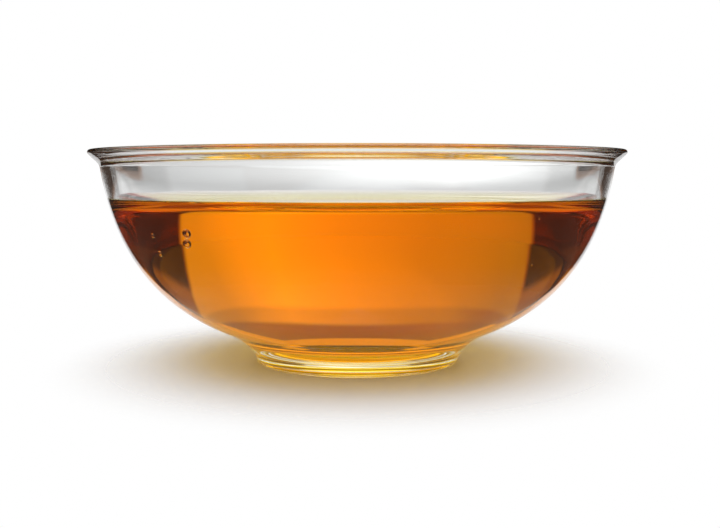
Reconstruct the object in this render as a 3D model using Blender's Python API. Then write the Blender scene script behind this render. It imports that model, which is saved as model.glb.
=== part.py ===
# A low glass tea bowl on a short foot ring, with a flared lip, filled with black tea.
# Both pieces are turned about the Z axis. The foot stands on Z = 0, at the origin.

import math

import bpy
from mathutils import Vector
from mathutils.geometry import interpolate_bezier

MM = 0.001  # every size below is in millimetres, and the model is in metres

# Driving sizes of the glass
RIM_RADIUS = 45.0
RIM_HEIGHT = 36.12
BEAD_RADIUS = 0.4  # the lip's rounded edge
LIP_LEAN = math.radians(41)  # of the flared lip, from upright
LIP_WALL = 0.9  # thickness of the lip just under its bead
NECK_RADIUS = 43.1  # outside, where the lip turns into the wall
NECK_HEIGHT = 33.3
NECK_LEAN = math.radians(8.8)  # of the wall under the neck, from upright
UPPER_WALL = 1.5  # thickness of the wall at the neck
FLOOR_WALL = 2.1  # thickness of the bowl at its middle
BELLY_PULL = 17.9  # how far the wall runs on before the belly turns in
BELLY_REACH = 30.5  # how far out from the axis the belly starts to rise
BELLY_HEIGHT = 1.75  # underside of the bowl at the axis

# Driving sizes of the foot ring
FOOT_JOIN_RADIUS = 23.4  # where the foot leaves the belly
FOOT_RADIUS = 17.65  # outside, just over its rounded edge
FOOT_EDGE = 0.4  # radius of that edge
FOOT_LEAN = math.radians(18)  # of the foot's side, from upright
FOOT_JOIN_PULL = 2.0  # how far the hollow curve of the side follows the belly
FOOT_PULL = 2.8  # and how far it follows the foot's side
RING_INNER_RADIUS = 13.6  # of the flat that the foot stands on
RECESS_LIP_HEIGHT = 1.25  # how steeply the recess under the foot starts
RECESS_REACH = 8.0

# Driving sizes of the tea
TEA_HEIGHT = 27.2  # of its level surface
TEA_GAP = 0.3  # between the tea and the glass
MENISCUS_RISE = 1.4  # how far the tea climbs at the wall
MENISCUS_WIDTH = 6.5
MENISCUS_LEAN = math.radians(57.5)  # of the tea's edge where it meets the wall, from upright
LEVEL_PULL = 3.5  # how far the meniscus follows the level surface
CONTACT_PULL = 1.2  # and how far it follows the slope of its edge

# How finely each stretch is divided
TURN_STEPS = 72
BELLY_STEPS = 18
CURVE_STEPS = 6
EDGE_STEPS = 3
BEAD_STEPS = 5


def clear_scene():
    for old in list(bpy.data.objects):
        bpy.data.objects.remove(old)


def point(radius, height):
    """A profile point: radius from the axis and height above the table."""
    return Vector((radius, 0.0, height))


def leaning(lean, length):
    """A step up and outwards, at an angle from upright."""
    return point(math.sin(lean), math.cos(lean)) * length


def bezier(start, start_handle, end_handle, end, steps):
    return interpolate_bezier(start, start_handle, end_handle, end, steps + 1)


def arc(centre, radius, first, last, steps):
    """Points round a centre, with angles counted from outwards (0) to up (90 degrees)."""
    angles = [first + (last - first) * i / steps for i in range(steps + 1)]
    return [centre + point(math.cos(a), math.sin(a)) * radius for a in angles]


def inward_normal(points, i):
    """Unit normal to the left of a profile that runs down its outer side, so it points into the bowl."""
    along = (points[min(i + 1, len(points) - 1)] - points[max(i - 1, 0)]).normalized()
    return point(along.z, -along.x)


def belly(steps):
    """The bowl's outer face from the neck down to the axis, as if it had no foot."""
    neck = point(NECK_RADIUS, NECK_HEIGHT)
    bottom = point(0.0, BELLY_HEIGHT)
    return bezier(
        neck,
        neck - leaning(NECK_LEAN, BELLY_PULL),
        point(BELLY_REACH, BELLY_HEIGHT),
        bottom,
        steps,
    )


def inner_face(gap, steps):
    """The bowl's inner face from the neck down to the axis, moved in by a gap. It thickens downwards."""
    outer = belly(steps)
    moved = []
    for i, place in enumerate(outer):
        share = i / (len(outer) - 1)
        wall = UPPER_WALL + (FLOOR_WALL - UPPER_WALL) * share**2
        normal = point(0.0, 1.0) if share == 1 else inward_normal(outer, i)
        moved.append(place + normal * (wall + gap))
    return moved


def lip_profile():
    """From the inner wall up over the bead and down to the neck, so the lip flares out and ends round."""
    bead = point(RIM_RADIUS - BEAD_RADIUS, RIM_HEIGHT - BEAD_RADIUS)
    across = point(math.cos(LIP_LEAN), -math.sin(LIP_LEAN))  # square to the lip, outwards and down
    top_of_wall = inner_face(0.0, BELLY_STEPS)[0]
    inner_end = bead - across * (LIP_WALL - BEAD_RADIUS) + leaning(LIP_LEAN, -BEAD_RADIUS)
    outer_end = bead + across * BEAD_RADIUS
    neck = point(NECK_RADIUS, NECK_HEIGHT)
    pull = (outer_end - neck).length / 2
    inside = bezier(
        top_of_wall,
        top_of_wall + leaning(NECK_LEAN, pull),
        inner_end - leaning(LIP_LEAN, pull),
        inner_end,
        CURVE_STEPS,
    )
    round_edge = arc(bead, BEAD_RADIUS, math.pi - LIP_LEAN, -LIP_LEAN, BEAD_STEPS)
    outside = bezier(
        outer_end,
        outer_end - leaning(LIP_LEAN, pull),
        neck + leaning(NECK_LEAN, pull / 2),
        neck,
        CURVE_STEPS,
    )
    return inside, round_edge, outside


def foot_profile(join, along):
    """From the belly down the hollow side of the foot, over its flat ring and up the recess to the axis."""
    side_end = point(FOOT_RADIUS, FOOT_EDGE)
    side = bezier(
        join,
        join + along * FOOT_JOIN_PULL,
        side_end + leaning(FOOT_LEAN, FOOT_PULL),
        side_end,
        CURVE_STEPS,
    )
    edge_centre = side_end - point(FOOT_EDGE, 0.0)
    edge = arc(edge_centre, FOOT_EDGE, 0.0, -math.pi / 2, EDGE_STEPS)
    recess = bezier(
        point(RING_INNER_RADIUS, 0.0),
        point(RING_INNER_RADIUS, RECESS_LIP_HEIGHT),
        point(RECESS_REACH, BELLY_HEIGHT),
        point(0.0, BELLY_HEIGHT),
        CURVE_STEPS,
    )
    return side[1:], edge[1:], recess


def glass_profile():
    """Up the inside, over the lip, down the outside and under the foot, from axis to axis."""
    outer = belly(BELLY_STEPS)
    kept = [place for place in outer if place.x > FOOT_JOIN_RADIUS]
    along = (outer[len(kept)] - kept[-1]).normalized()
    join = kept[-1] + along * (kept[-1].x - FOOT_JOIN_RADIUS) / -along.x
    inside, round_edge, outside = lip_profile()
    up_the_inside = list(reversed(inner_face(0.0, BELLY_STEPS)))
    foot = foot_profile(join, along)
    stretches = [up_the_inside, inside[1:], round_edge[1:-1], outside, kept[1:], [join], *foot]
    return [place for stretch in stretches for place in stretch]


def tea_profile():
    """Out over the level surface, up the meniscus, and down beside the glass to the axis."""
    wall = inner_face(TEA_GAP, BELLY_STEPS)
    contact_height = TEA_HEIGHT + MENISCUS_RISE
    above = max(i for i, place in enumerate(wall) if place.z > contact_height)
    share = (wall[above].z - contact_height) / (wall[above].z - wall[above + 1].z)
    contact = wall[above].lerp(wall[above + 1], share)
    level_end = point(contact.x - MENISCUS_WIDTH, TEA_HEIGHT)
    meniscus = bezier(
        level_end,
        level_end + point(LEVEL_PULL, 0.0),
        contact - leaning(MENISCUS_LEAN, CONTACT_PULL),
        contact,
        CURVE_STEPS,
    )
    level = [point(level_end.x * i / EDGE_STEPS, TEA_HEIGHT) for i in range(EDGE_STEPS)]
    return [*level, *meniscus, *wall[above + 1 :]]


def glossy(name, colour, roughness, ior):
    """A clear material of one colour that bends light."""
    made = bpy.data.materials.new(name)
    made.use_nodes = True
    shader = made.node_tree.nodes["Principled BSDF"]
    shader.inputs["Base Color"].default_value = (*colour, 1.0)
    shader.inputs["Roughness"].default_value = roughness
    shader.inputs["Metallic"].default_value = 0.0
    shader.inputs["Transmission Weight"].default_value = 1.0
    shader.inputs["IOR"].default_value = ior
    return made


def turned(name, profile, material):
    """One closed solid, made by turning a profile about the Z axis."""
    places = [place * MM for place in profile]
    edges = [(i, i + 1) for i in range(len(places) - 1)]
    mesh = bpy.data.meshes.new(name)
    mesh.from_pydata(places, edges, [])
    mesh.materials.append(material)
    made = bpy.data.objects.new(name, mesh)
    bpy.context.scene.collection.objects.link(made)
    turn = made.modifiers.new("Turn", "SCREW")
    turn.axis = "Z"
    turn.angle = math.tau
    turn.steps = TURN_STEPS
    turn.render_steps = TURN_STEPS
    turn.use_merge_vertices = True
    turn.merge_threshold = 0.00001
    turn.use_smooth_shade = True
    return made


def build():
    clear_scene()
    turned("glass_bowl", glass_profile(), glossy("clear glass", (0.96, 0.97, 0.97), 0.0, 1.5))
    turned("tea", tea_profile(), glossy("black tea", (0.85, 0.32, 0.03), 0.0, 1.333))


build()
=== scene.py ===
# Looks for a low glass tea bowl, filled with clear amber tea, on a pale table.
import math

import bmesh
import bpy
from mathutils import Matrix, Vector
from mathutils.geometry import interpolate_bezier


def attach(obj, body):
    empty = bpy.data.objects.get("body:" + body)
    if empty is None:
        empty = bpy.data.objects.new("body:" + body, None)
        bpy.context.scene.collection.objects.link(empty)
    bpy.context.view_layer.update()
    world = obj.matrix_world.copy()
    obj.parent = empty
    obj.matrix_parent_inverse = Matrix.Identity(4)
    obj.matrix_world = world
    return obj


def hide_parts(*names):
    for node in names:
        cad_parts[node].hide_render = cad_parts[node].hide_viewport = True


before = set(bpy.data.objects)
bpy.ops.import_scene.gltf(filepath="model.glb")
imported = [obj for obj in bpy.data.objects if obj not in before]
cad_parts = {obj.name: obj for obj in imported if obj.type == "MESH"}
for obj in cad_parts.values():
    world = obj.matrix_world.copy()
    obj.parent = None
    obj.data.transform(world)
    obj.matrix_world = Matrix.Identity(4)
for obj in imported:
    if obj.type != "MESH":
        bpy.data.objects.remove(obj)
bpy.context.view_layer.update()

mm = 0.001  # sizes below are in millimetres, meshes in metres
mergeWithin = 0.002  # how near two vertices are when they become one
sharpAngle = 35  # degrees between two faces, from which their edge looks sharp
white = (1, 1, 1, 1)


class Wire:  # one output socket that can be used in sums
    def __init__(self, tree, socket):
        self.tree = tree
        self.socket = socket

    @classmethod
    def node(cls, tree, kind, settings=None, inputs=None, output=0):
        made = tree.nodes.new(kind)
        for name, value in (settings or {}).items():
            if name == "stops":
                setStops(made.color_ramp, value)
            else:
                setattr(made, name, value)
        for name, value in (inputs or {}).items():
            if isinstance(value, Wire):
                tree.links.new(value.socket, made.inputs[name])
            else:
                made.inputs[name].default_value = value
        return cls(tree, made.outputs[output]) if made.outputs else None  # an output node has none

    def output(self, name):  # another output of the same node
        return Wire(self.tree, self.socket.node.outputs[name])

    def __add__(self, other):
        return maths("ADD", self, other)

    def __sub__(self, other):
        return maths("SUBTRACT", self, other)

    def __rsub__(self, other):
        return maths("SUBTRACT", other, self)

    def __mul__(self, other):
        return maths("MULTIPLY", self, other)

    def __truediv__(self, other):
        return maths("DIVIDE", self, other)

    def __rtruediv__(self, other):
        return maths("DIVIDE", other, self)

    __radd__ = __add__
    __rmul__ = __mul__


def setStops(ramp, stops):  # of a colour ramp, as (place, colour) pairs
    while len(ramp.elements) < len(stops):
        ramp.elements.new(0.5)
    for element, (place, colour) in zip(ramp.elements, stops):
        element.position = place
        element.color = colour


def maths(operation, *values):  # one or more of the values are sockets
    tree = next(value.tree for value in values if isinstance(value, Wire))
    return Wire.node(tree, "ShaderNodeMath", {"operation": operation}, dict(enumerate(values)))


def smoothStep(value, low, high):  # 0 at low, 1 at high
    settings = {"interpolation_type": "SMOOTHSTEP"}
    inputs = {"Value": value, "From Min": low, "From Max": high}
    return Wire.node(value.tree, "ShaderNodeMapRange", settings, inputs)


def newMaterial(name):
    made = bpy.data.materials.new(name)
    made.use_nodes = True
    made.node_tree.nodes.clear()
    return made, made.node_tree


def point(radius, height):
    return Vector((radius, 0, height))


def leaning(degrees, length):  # a step up and outwards, at an angle from upright
    return point(math.sin(math.radians(degrees)), math.cos(math.radians(degrees))) * length


def inwards(above, below):  # a step of 1 into the bowl, square to a wall that runs down and in
    along = (below - above).normalized()
    return point(along.z, -along.x)


def curve(start, startHandle, endHandle, end, steps):
    return interpolate_bezier(start, startHandle, endHandle, end, steps + 1)


def arc(centre, radius, first, last, steps):  # degrees, from outwards (0) to up (90)
    angles = [math.radians(first + (last - first) * i / steps) for i in range(steps + 1)]
    return [centre + point(math.cos(a), math.sin(a)) * radius for a in angles]


def turned(name, profile, around):  # spins a profile about the axis into a closed, smooth piece
    bm = bmesh.new()
    verts = [bm.verts.new(place * mm) for place in profile]
    edges = [bm.edges.new(pair) for pair in zip(verts, verts[1:])]
    bmesh.ops.spin(bm, geom=verts + edges, axis=(0, 0, 1), angle=math.tau, steps=around, use_merge=True)
    bmesh.ops.remove_doubles(bm, verts=bm.verts, dist=mergeWithin * mm)
    bmesh.ops.recalc_face_normals(bm, faces=bm.faces)
    if bm.calc_volume(signed=True) < 0:  # the spin can leave it inside out
        bmesh.ops.reverse_faces(bm, faces=bm.faces)
    return newPiece(name, bm)


def newPiece(name, bm):
    for face in bm.faces:
        face.smooth = True
    for edge in bm.edges:
        edge.smooth = edge.calc_face_angle(0) < math.radians(sharpAngle)
    mesh = bpy.data.meshes.new(name)
    bm.to_mesh(mesh)
    bm.free()
    piece = bpy.data.objects.new(name, mesh)
    bpy.context.scene.collection.objects.link(piece)
    return piece


glass = {
    "rimRadius": 45.0,
    "rimHeight": 36.12,
    "beadRadius": 0.4,  # of the lip's rounded edge
    "lipLean": 41,  # degrees from upright
    "lipWall": 0.9,
    "neckRadius": 43.1,  # outside, where the lip turns into the wall
    "neckHeight": 33.3,
    "neckLean": 8.8,
    "upperWall": 1.5,
    "floorWall": 2.1,
    "bellyPull": 17.9,  # how far the wall runs on before the belly turns in
    "bellyReach": 30.5,  # how far out from the axis the belly starts to rise
    "bellyHeight": 1.75,
    "footJoinRadius": 23.4,  # where the foot leaves the belly
    "footJoinPull": 2.0,
    "footRadius": 17.65,
    "footEdge": 0.4,
    "footLean": 18,
    "footPull": 2.8,
    "ringInnerRadius": 13.6,  # of the flat that the foot stands on
    "recessLipHeight": 1.25,
    "recessReach": 8.0,
    "around": 256,  # steps about the axis, for the tea as well
    "wallSteps": 72,
    "lipSteps": 14,
    "footSteps": 20,
    "footEdgeSteps": 6,
    "colour": (0.985, 0.992, 0.99, 1),
    "refraction": 1.5,
    "waves": (60, 60, 260),  # of its ripples, per metre across and upwards
    "waveDepth": 0.012,
}


def belly():  # outside of the bowl, from the neck to the axis
    neck = point(glass["neckRadius"], glass["neckHeight"])
    bottom = point(0, glass["bellyHeight"])
    pull = neck - leaning(glass["neckLean"], glass["bellyPull"])
    return curve(neck, pull, bottom + point(glass["bellyReach"], 0), bottom, glass["wallSteps"])


def innerFace(gap=0):  # inside of the bowl, moved in by a gap, from the neck to the axis
    outer = belly()
    last = len(outer) - 1
    moved = []
    for i, place in enumerate(outer):
        square = point(0, 1) if i == last else inwards(outer[max(i - 1, 0)], outer[i + 1])
        wall = glass["upperWall"] + (glass["floorWall"] - glass["upperWall"]) * (i / last) ** 2
        moved.append(place + square * (wall + gap))
    return moved


def splitWall(wall, height):  # the parts of a wall above and below a height, each with the point there
    above = max(i for i, place in enumerate(wall) if place.z > height)
    share = (wall[above].z - height) / (wall[above].z - wall[above + 1].z)
    contact = wall[above].lerp(wall[above + 1], share)
    return wall[:above + 1] + [contact], [contact] + wall[above + 1:]


def lipProfile(steps):
    bead = point(glass["rimRadius"] - glass["beadRadius"], glass["rimHeight"] - glass["beadRadius"])
    across = leaning(glass["lipLean"] + 90, 1)
    thickness = across * (glass["lipWall"] - glass["beadRadius"])
    innerEnd = bead - thickness - leaning(glass["lipLean"], glass["beadRadius"])
    outerEnd = bead + across * glass["beadRadius"]
    wallTop = innerFace()[0]
    neck = point(glass["neckRadius"], glass["neckHeight"])
    pull = (outerEnd - neck).length / 2
    wallUp, lipUp = leaning(glass["neckLean"], 1), leaning(glass["lipLean"], 1)
    inside = curve(wallTop, wallTop + wallUp * pull, innerEnd - lipUp * pull, innerEnd, steps)
    edge = arc(bead, glass["beadRadius"], 180 - glass["lipLean"], -glass["lipLean"], steps)
    outside = curve(outerEnd, outerEnd - lipUp * pull, neck + wallUp * pull / 2, neck, steps)
    return inside[1:] + edge[1:-1] + outside


def footProfile(join, along, steps):
    sideEnd = point(glass["footRadius"], glass["footEdge"])
    pull = sideEnd + leaning(glass["footLean"], glass["footPull"])
    side = curve(join, join + along * glass["footJoinPull"], pull, sideEnd, steps)
    edgeCentre = sideEnd - point(glass["footEdge"], 0)
    edge = arc(edgeCentre, glass["footEdge"], 0, -90, glass["footEdgeSteps"])
    recess = curve(
        point(glass["ringInnerRadius"], 0),
        point(glass["ringInnerRadius"], glass["recessLipHeight"]),
        point(glass["recessReach"], glass["bellyHeight"]),
        point(0, glass["bellyHeight"]),
        steps,
    )
    return side[1:] + edge[1:] + recess


tea = {
    "height": 27.2,
    "intoWall": 0.1,  # how far it reaches into the glass, so that no air shows between them
    "meniscusRise": 1.4,
    "meniscusWidth": 6.5,
    "meniscusSlope": 32.5,  # degrees from level, where the tea meets the glass
    "meniscusPulls": (3.5, 1.2),
    "levelSteps": 12,
    "meniscusSteps": 20,
    "refraction": 1.333,
    "sideRefraction": 1.0005,  # against the glass, whose own material bends the light there
    "absorbed": (1.5, 20.8, 180.0),  # of red, green and blue, per metre
    "waves": (90, 90, 90),
    "waveDepth": 0.004,
}


def teaEdge():  # the height where the tea meets the glass
    return tea["height"] + tea["meniscusRise"]


def makeGlass():
    outer = belly()
    kept = [place for place in outer if place.x > glass["footJoinRadius"]]
    along = (outer[len(kept)] - kept[-1]).normalized()
    join = kept[-1] + along * (kept[-1].x - glass["footJoinRadius"]) / -along.x
    dry, wet = splitWall(innerFace(), teaEdge())
    inside = list(reversed(dry[:-1] + wet))
    foot = footProfile(join, along, glass["footSteps"])
    profile = inside + lipProfile(glass["lipSteps"]) + kept[1:] + [join] + foot
    return turned("glassBowl", profile, glass["around"])


def isWet(place, normal):  # the bowl's inside, up to the edge of the meniscus
    return normal.z > 0 and place.z < teaEdge() * mm


def isSide(place, normal):  # the tea's side and bottom, against the glass
    return normal.z < 0


def markFaces(piece, mark, chosen):  # 1 on the chosen faces, for the piece's material to read
    marks = piece.data.attributes.new(mark, "FLOAT", "FACE")
    for face in piece.data.polygons:
        marks.data[face.index].value = chosen(face.center, face.normal)


def clearShader(tree, colour, refraction, bump):
    return Wire.node(tree, "ShaderNodeBsdfPrincipled", inputs={
        "Base Color": colour,
        "Roughness": 0.0,
        "IOR": refraction,
        "Transmission Weight": 1.0,
        "Normal": bump,
    })


def rippled(tree, scales, depth):  # soft ripples, with their scales per metre and their depth in mm
    place = Wire.node(tree, "ShaderNodeTexCoord", output="Object")
    stretched = Wire.node(tree, "ShaderNodeMapping", inputs={"Vector": place, "Scale": scales})
    noise = {"Vector": stretched, "Scale": 1.0, "Detail": 1.5}
    ripples = Wire.node(tree, "ShaderNodeTexNoise", inputs=noise)
    bump = {"Height": ripples, "Distance": depth * mm, "Strength": 1.0}
    return Wire.node(tree, "ShaderNodeBump", inputs=bump)


def pickByMark(tree, mark, unmarked, marked):
    share = Wire.node(tree, "ShaderNodeAttribute", {"attribute_name": mark}, output="Fac")
    return Wire.node(tree, "ShaderNodeMixShader", inputs={0: share, 1: unmarked, 2: marked})


def glassMaterial():
    made, tree = newMaterial("clear glass")
    bump = rippled(tree, glass["waves"], glass["waveDepth"])
    inAir = clearShader(tree, glass["colour"], glass["refraction"], bump)
    againstTea = clearShader(tree, glass["colour"], glass["refraction"] / tea["refraction"], bump)
    surface = pickByMark(tree, "wet", inAir, againstTea)
    Wire.node(tree, "ShaderNodeOutputMaterial", inputs={"Surface": surface})
    return made


bowl = makeGlass()
markFaces(bowl, "wet", isWet)
bowl.data.materials.append(glassMaterial())
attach(bowl, "root")
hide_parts("glass_bowl")
print("glass bowl made:", len(bowl.data.polygons), "faces")


def makeTea():
    contact, *wall = splitWall(innerFace(-tea["intoWall"]), teaEdge())[1]
    levelEnd = point(contact.x - tea["meniscusWidth"], tea["height"])
    levelPull, contactPull = tea["meniscusPulls"]
    levelHandle = levelEnd + point(levelPull, 0)
    contactHandle = contact - leaning(90 - tea["meniscusSlope"], contactPull)
    meniscus = curve(levelEnd, levelHandle, contactHandle, contact, tea["meniscusSteps"])
    steps = tea["levelSteps"]
    level = [point(levelEnd.x * i / steps, tea["height"]) for i in range(steps)]
    return turned("teaFill", level + meniscus + wall, glass["around"])


def teaMaterial():
    made, tree = newMaterial("amber tea")
    bump = rippled(tree, tea["waves"], tea["waveDepth"])
    level = clearShader(tree, white, tea["refraction"], bump)
    side = clearShader(tree, white, tea["sideRefraction"], bump)
    density = max(tea["absorbed"]) * 1.01  # so that no part of the colour is quite 0
    left = [1 - part / density for part in tea["absorbed"]]
    inside = {"Color": (*left, 1), "Density": density}
    Wire.node(tree, "ShaderNodeOutputMaterial", inputs={
        "Surface": pickByMark(tree, "side", level, side),
        "Volume": Wire.node(tree, "ShaderNodeVolumeAbsorption", inputs=inside),
    })
    return made


fill = makeTea()
markFaces(fill, "side", isSide)
fill.data.materials.append(teaMaterial())
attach(fill, "root")
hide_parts("tea")
print("tea made:", len(fill.data.polygons), "faces")


bubbles = {
    "places": (  # degrees round from the front, height and width
        (-37.9, 23.85, 1.4), (-38.8, 22.4, 1.4), (-49.5, 23.4, 0.7),
        (-49.7, 20.7, 0.9), (39.6, 26.1, 0.3), (42.7, 19.3, 0.3),
    ),
    "clearance": 0.05,  # from the glass
    "segments": (32, 16),  # around and upwards
    "refraction": 1.3,  # like denser drops, since the shader has none under 1
    "waves": (700, 700, 700),
    "waveDepth": 0.002,
}


def makeBubbles():
    bm = bmesh.new()
    around, upwards = bubbles["segments"]
    for turn, height, width in bubbles["places"]:
        above, below = splitWall(innerFace(), height)
        radius = width / 2
        centre = below[0] + inwards(above[-2], below[1]) * (radius + bubbles["clearance"])
        made = bmesh.ops.create_uvsphere(bm, u_segments=around, v_segments=upwards, radius=radius * mm)
        placed = Matrix.Rotation(math.radians(turn - 90), 4, "Z") @ Matrix.Translation(centre * mm)
        bmesh.ops.transform(bm, matrix=placed, verts=made["verts"])
    return newPiece("teaBubbles", bm)


def bubbleMaterial():
    made, tree = newMaterial("clear bubble")
    bump = rippled(tree, bubbles["waves"], bubbles["waveDepth"])
    surface = clearShader(tree, white, bubbles["refraction"], bump)
    Wire.node(tree, "ShaderNodeOutputMaterial", inputs={"Surface": surface})
    return made


specks = makeBubbles()
specks.data.materials.append(bubbleMaterial())
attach(specks, "root")
print("bubbles made:", len(specks.data.polygons), "faces")


tableLook = {
    "radius": 400,
    "segments": 96,
    "below": 0.05,  # under the bowl's foot
    "fade": (23, 54),  # mm from the axis, where it starts and ends blending into the white background
    "colour": (0.82, 0.785, 0.77, 1),
    "roughness": 0.6,
}


def makeTable():
    bm = bmesh.new()
    radius = tableLook["radius"] * mm
    bmesh.ops.create_circle(bm, cap_ends=True, segments=tableLook["segments"], radius=radius)
    bmesh.ops.translate(bm, verts=bm.verts, vec=(0, 0, -tableLook["below"] * mm))
    return newPiece("table", bm)


def tableMaterial():
    made, tree = newMaterial("pale table")
    place = Wire.node(tree, "ShaderNodeTexCoord", output="Object")
    length = {"operation": "LENGTH"}
    far = Wire.node(tree, "ShaderNodeVectorMath", length, {0: place}, output="Value")
    surface = Wire.node(tree, "ShaderNodeBsdfPrincipled", inputs={
        "Base Color": tableLook["colour"],
        "Roughness": tableLook["roughness"],
        "Alpha": 1 - smoothStep(far / mm, *tableLook["fade"]),
    })
    Wire.node(tree, "ShaderNodeOutputMaterial", inputs={"Surface": surface})
    return made


table = makeTable()
table.data.materials.append(tableMaterial())
print("table made")


# angles are in degrees, round from behind the bowl and up from level
room = {
    "wallHalfWidth": (17.0, 21.5),  # of the bright wall behind, at its foot and top
    "wallTop": (11, 21.5),  # where the wall starts to widen and where it ends
    "wallBlur": (0.7, 0.8),  # of its sides and its top
    "wallSag": 0.022,  # how its top rises with the square of the degrees to the side
    "wallLight": 1.5,
    "wallShades": ((-17, 0.36), (-5, 0.58), (0, 0.76), (6, 1.0), (14, 0.6), (17, 0.57)),  # by degrees round
    "wallDims": (17.0, 18.5, 0.73),  # where the wall gets dimmer upwards, and how dim
    "upperShades": (  # over the wall, by degrees upwards
        (21, 0.37), (25.5, 0.29), (26.2, 0.95), (29.2, 0.95), (29.7, 0.02), (33.6, 0.02), (34.4, 0.45),
    ),
    "upperSag": (0.055, 9),  # how they rise to the side, as the wall's top does, and how far out that goes
    "darkFoot": (0.06, -1, 0),  # light of the dark sides low down, and where it starts and ends fading
    "darkSides": 0.02,  # their light from there up
    "darkTop": (20, 23.5, 0.32),  # where they start to get lighter, where that ends, and their light there
    "sideWalls": (64, 116, 24, 0.8),  # where they start and end, their top and their light
    "frontLight": 0.42,  # past the side walls, from the camera's side of the room
    "overhead": (0, -0.45, 0.89),  # the way to the middle of the soft light overhead
    "overheadReach": (46, 38),  # degrees from there where it ends and where it is full
    "overheadLight": 1.8,
    "groundHalfWidth": 26,  # of the bright ground behind
    "groundLight": (0.1, 0.9, 0.5),  # around, behind, and behind but close under the wall
    "underWall": (-3, -1),  # where that last one starts, and where it is full
    "groundEdge": -16,  # where the ground ends around, as the dark sides stand nearer than the wall
    "throughGlass": (0.86, -5, -9),  # the ground seen through glass, and where it starts and is full
    "dimColour": (1, 0.7, 0.55, 1),  # of the room's dark parts
    "dimRange": (0.35, 0.55),  # brightness where that colour starts to fade, and where it is gone
    "blur": 2,  # of the other edges
}


def mixed(low, high, share):  # low where the share is 0, high where it is 1
    return low * (1 - share) + high * share


def shaded(value, shades):  # grey that follows a list of (value, brightness) pairs
    first, last = shades[0][0], shades[-1][0]
    stops = [((at - first) / (last - first), (shade, shade, shade, 1)) for at, shade in shades]
    share = (value - first) / (last - first)
    return Wire.node(value.tree, "ShaderNodeValToRGB", {"stops": stops}, {"Fac": share})


def over(rise):  # 1 from an edge upwards, with a blur under it
    return smoothStep(rise, -room["blur"], 0)


def wallShare(across, rise):  # 1 on the bright wall, which widens upwards
    (narrow, wide), (low, top) = room["wallHalfWidth"], room["wallTop"]
    blur = room["wallBlur"][0]
    widening = (rise - low) * ((wide - narrow) / (top - low))
    edge = narrow + maths("MAXIMUM", widening, 0)
    return 1 - smoothStep(across - edge, -blur, blur)


def wallLight(turn, across, rise):  # of the bright wall, and of the shades over it
    wallRise = rise - turn * turn * room["wallSag"]
    dimFrom, dimTo, dim = room["wallDims"]
    dimming = mixed(1, dim, smoothStep(wallRise, dimFrom, dimTo))
    wall = shaded(turn, room["wallShades"]) * room["wallLight"] * dimming
    bend, reach = room["upperSag"]
    aside = maths("MINIMUM", across, reach)
    upper = shaded(rise - aside * aside * bend, room["upperShades"])
    top, blur = room["wallTop"][1], room["wallBlur"][1]
    return mixed(wall, upper, smoothStep(wallRise, top - blur, top + blur))


def darkSidesLight(rise):
    low, lowFrom, lowTo = room["darkFoot"]
    light = mixed(low, room["darkSides"], smoothStep(rise, lowFrom, lowTo))
    highFrom, highTo, high = room["darkTop"]
    return mixed(light, high, smoothStep(rise, highFrom, highTo))


def airLight(ray, turn, across, rise):  # of all that stands over the ground
    light = mixed(darkSidesLight(rise), wallLight(turn, across, rise), wallShare(across, rise))
    blur = room["blur"]
    start, end, top, sideLight = room["sideWalls"]
    beside = smoothStep(across, start - blur, start + blur) * smoothStep(across, end + blur, end - blur)
    within = over(rise) * smoothStep(rise, top + blur, top - blur)
    light = mixed(light, sideLight, beside * within)
    front = smoothStep(across, end - blur, end + blur) * over(rise)
    light = mixed(light, room["frontLight"], front)
    dot = {"operation": "DOT_PRODUCT"}
    ways = {0: ray, 1: room["overhead"]}
    towards = Wire.node(ray.tree, "ShaderNodeVectorMath", dot, ways, output="Value")
    edge, full = [math.cos(math.radians(reach)) for reach in room["overheadReach"]]
    return mixed(light, room["overheadLight"], smoothStep(towards, edge, full))


def groundLight(rise, behind, through):  # brighter for rays that come through glass
    around, far, near = room["groundLight"]
    shine, start, full = room["throughGlass"]
    ground = mixed(around, mixed(far, near, smoothStep(rise, *room["underWall"])), behind)
    return mixed(ground, shine, smoothStep(rise, start, full) * through)


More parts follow.
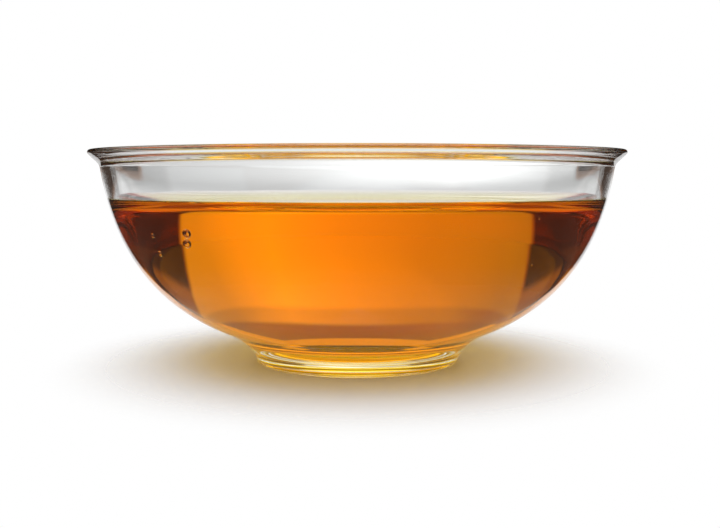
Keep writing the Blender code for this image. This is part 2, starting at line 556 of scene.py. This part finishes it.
def makeWorld():
    world = bpy.data.worlds.new("studio")
    bpy.context.scene.world = world
    world.use_nodes = True
    tree = world.node_tree
    tree.nodes.clear()
    ray = Wire.node(tree, "ShaderNodeTexCoord", output="Generated")
    parts = Wire.node(tree, "ShaderNodeSeparateXYZ", inputs={"Vector": ray})
    x, y, z = [parts.output(axis) for axis in "XYZ"]
    turn = maths("ARCTAN2", x, y) * math.degrees(1)  # 0 behind the bowl
    rise = maths("ARCSINE", z) * math.degrees(1)
    across = maths("ABSOLUTE", turn)
    toCamera = Wire.node(tree, "ShaderNodeLightPath", output="Is Camera Ray")
    through = toCamera.output("Is Transmission Ray")
    halfWidth, blur = room["groundHalfWidth"], room["blur"] / 2
    behind = smoothStep(across, halfWidth + blur, halfWidth - blur)
    glassEdge = room["throughGlass"][1]
    horizon = mixed(mixed(room["groundEdge"], glassEdge, through), 0, behind)
    ground = groundLight(rise, behind, through)
    seen = mixed(ground, airLight(ray, turn, across, rise), over(rise - horizon))
    shown = mixed(seen, 1, toCamera)  # the camera itself sees plain white
    tints = {"stops": list(zip(room["dimRange"], (room["dimColour"], white)))}
    background = Wire.node(tree, "ShaderNodeBackground", inputs={
        "Color": Wire.node(tree, "ShaderNodeValToRGB", tints, {"Fac": shown}),
        "Strength": shown,
    })
    Wire.node(tree, "ShaderNodeOutputWorld", inputs={"Surface": background})


makeWorld()
print("light made")


view = {
    "distance": 168.72,
    "height": 32.27,
    "aside": 0.435,
    "down": 5.33,  # degrees
    "lens": 48.52,
    "sensor": 36,
    "nearest": 10,  # what is nearer doesn't show
}


def makeCamera():
    data = bpy.data.cameras.new("camera")
    data.lens = view["lens"]
    data.sensor_width = view["sensor"]
    data.clip_start = view["nearest"] * mm
    camera = bpy.data.objects.new("camera", data)
    camera.location = (view["aside"] * mm, -view["distance"] * mm, view["height"] * mm)
    camera.rotation_euler = (math.radians(90 - view["down"]), 0, 0)
    bpy.context.scene.collection.objects.link(camera)
    bpy.context.scene.camera = camera


def followLight():  # far enough through glass and tea, with colours shown as they are
    studio = bpy.context.scene
    studio.view_settings.view_transform = "Standard"
    studio.cycles.max_bounces = 32
    studio.cycles.transmission_bounces = 32
    studio.cycles.glossy_bounces = 16
    studio.cycles.transparent_max_bounces = 32


makeCamera()
followLight()
print("camera made")
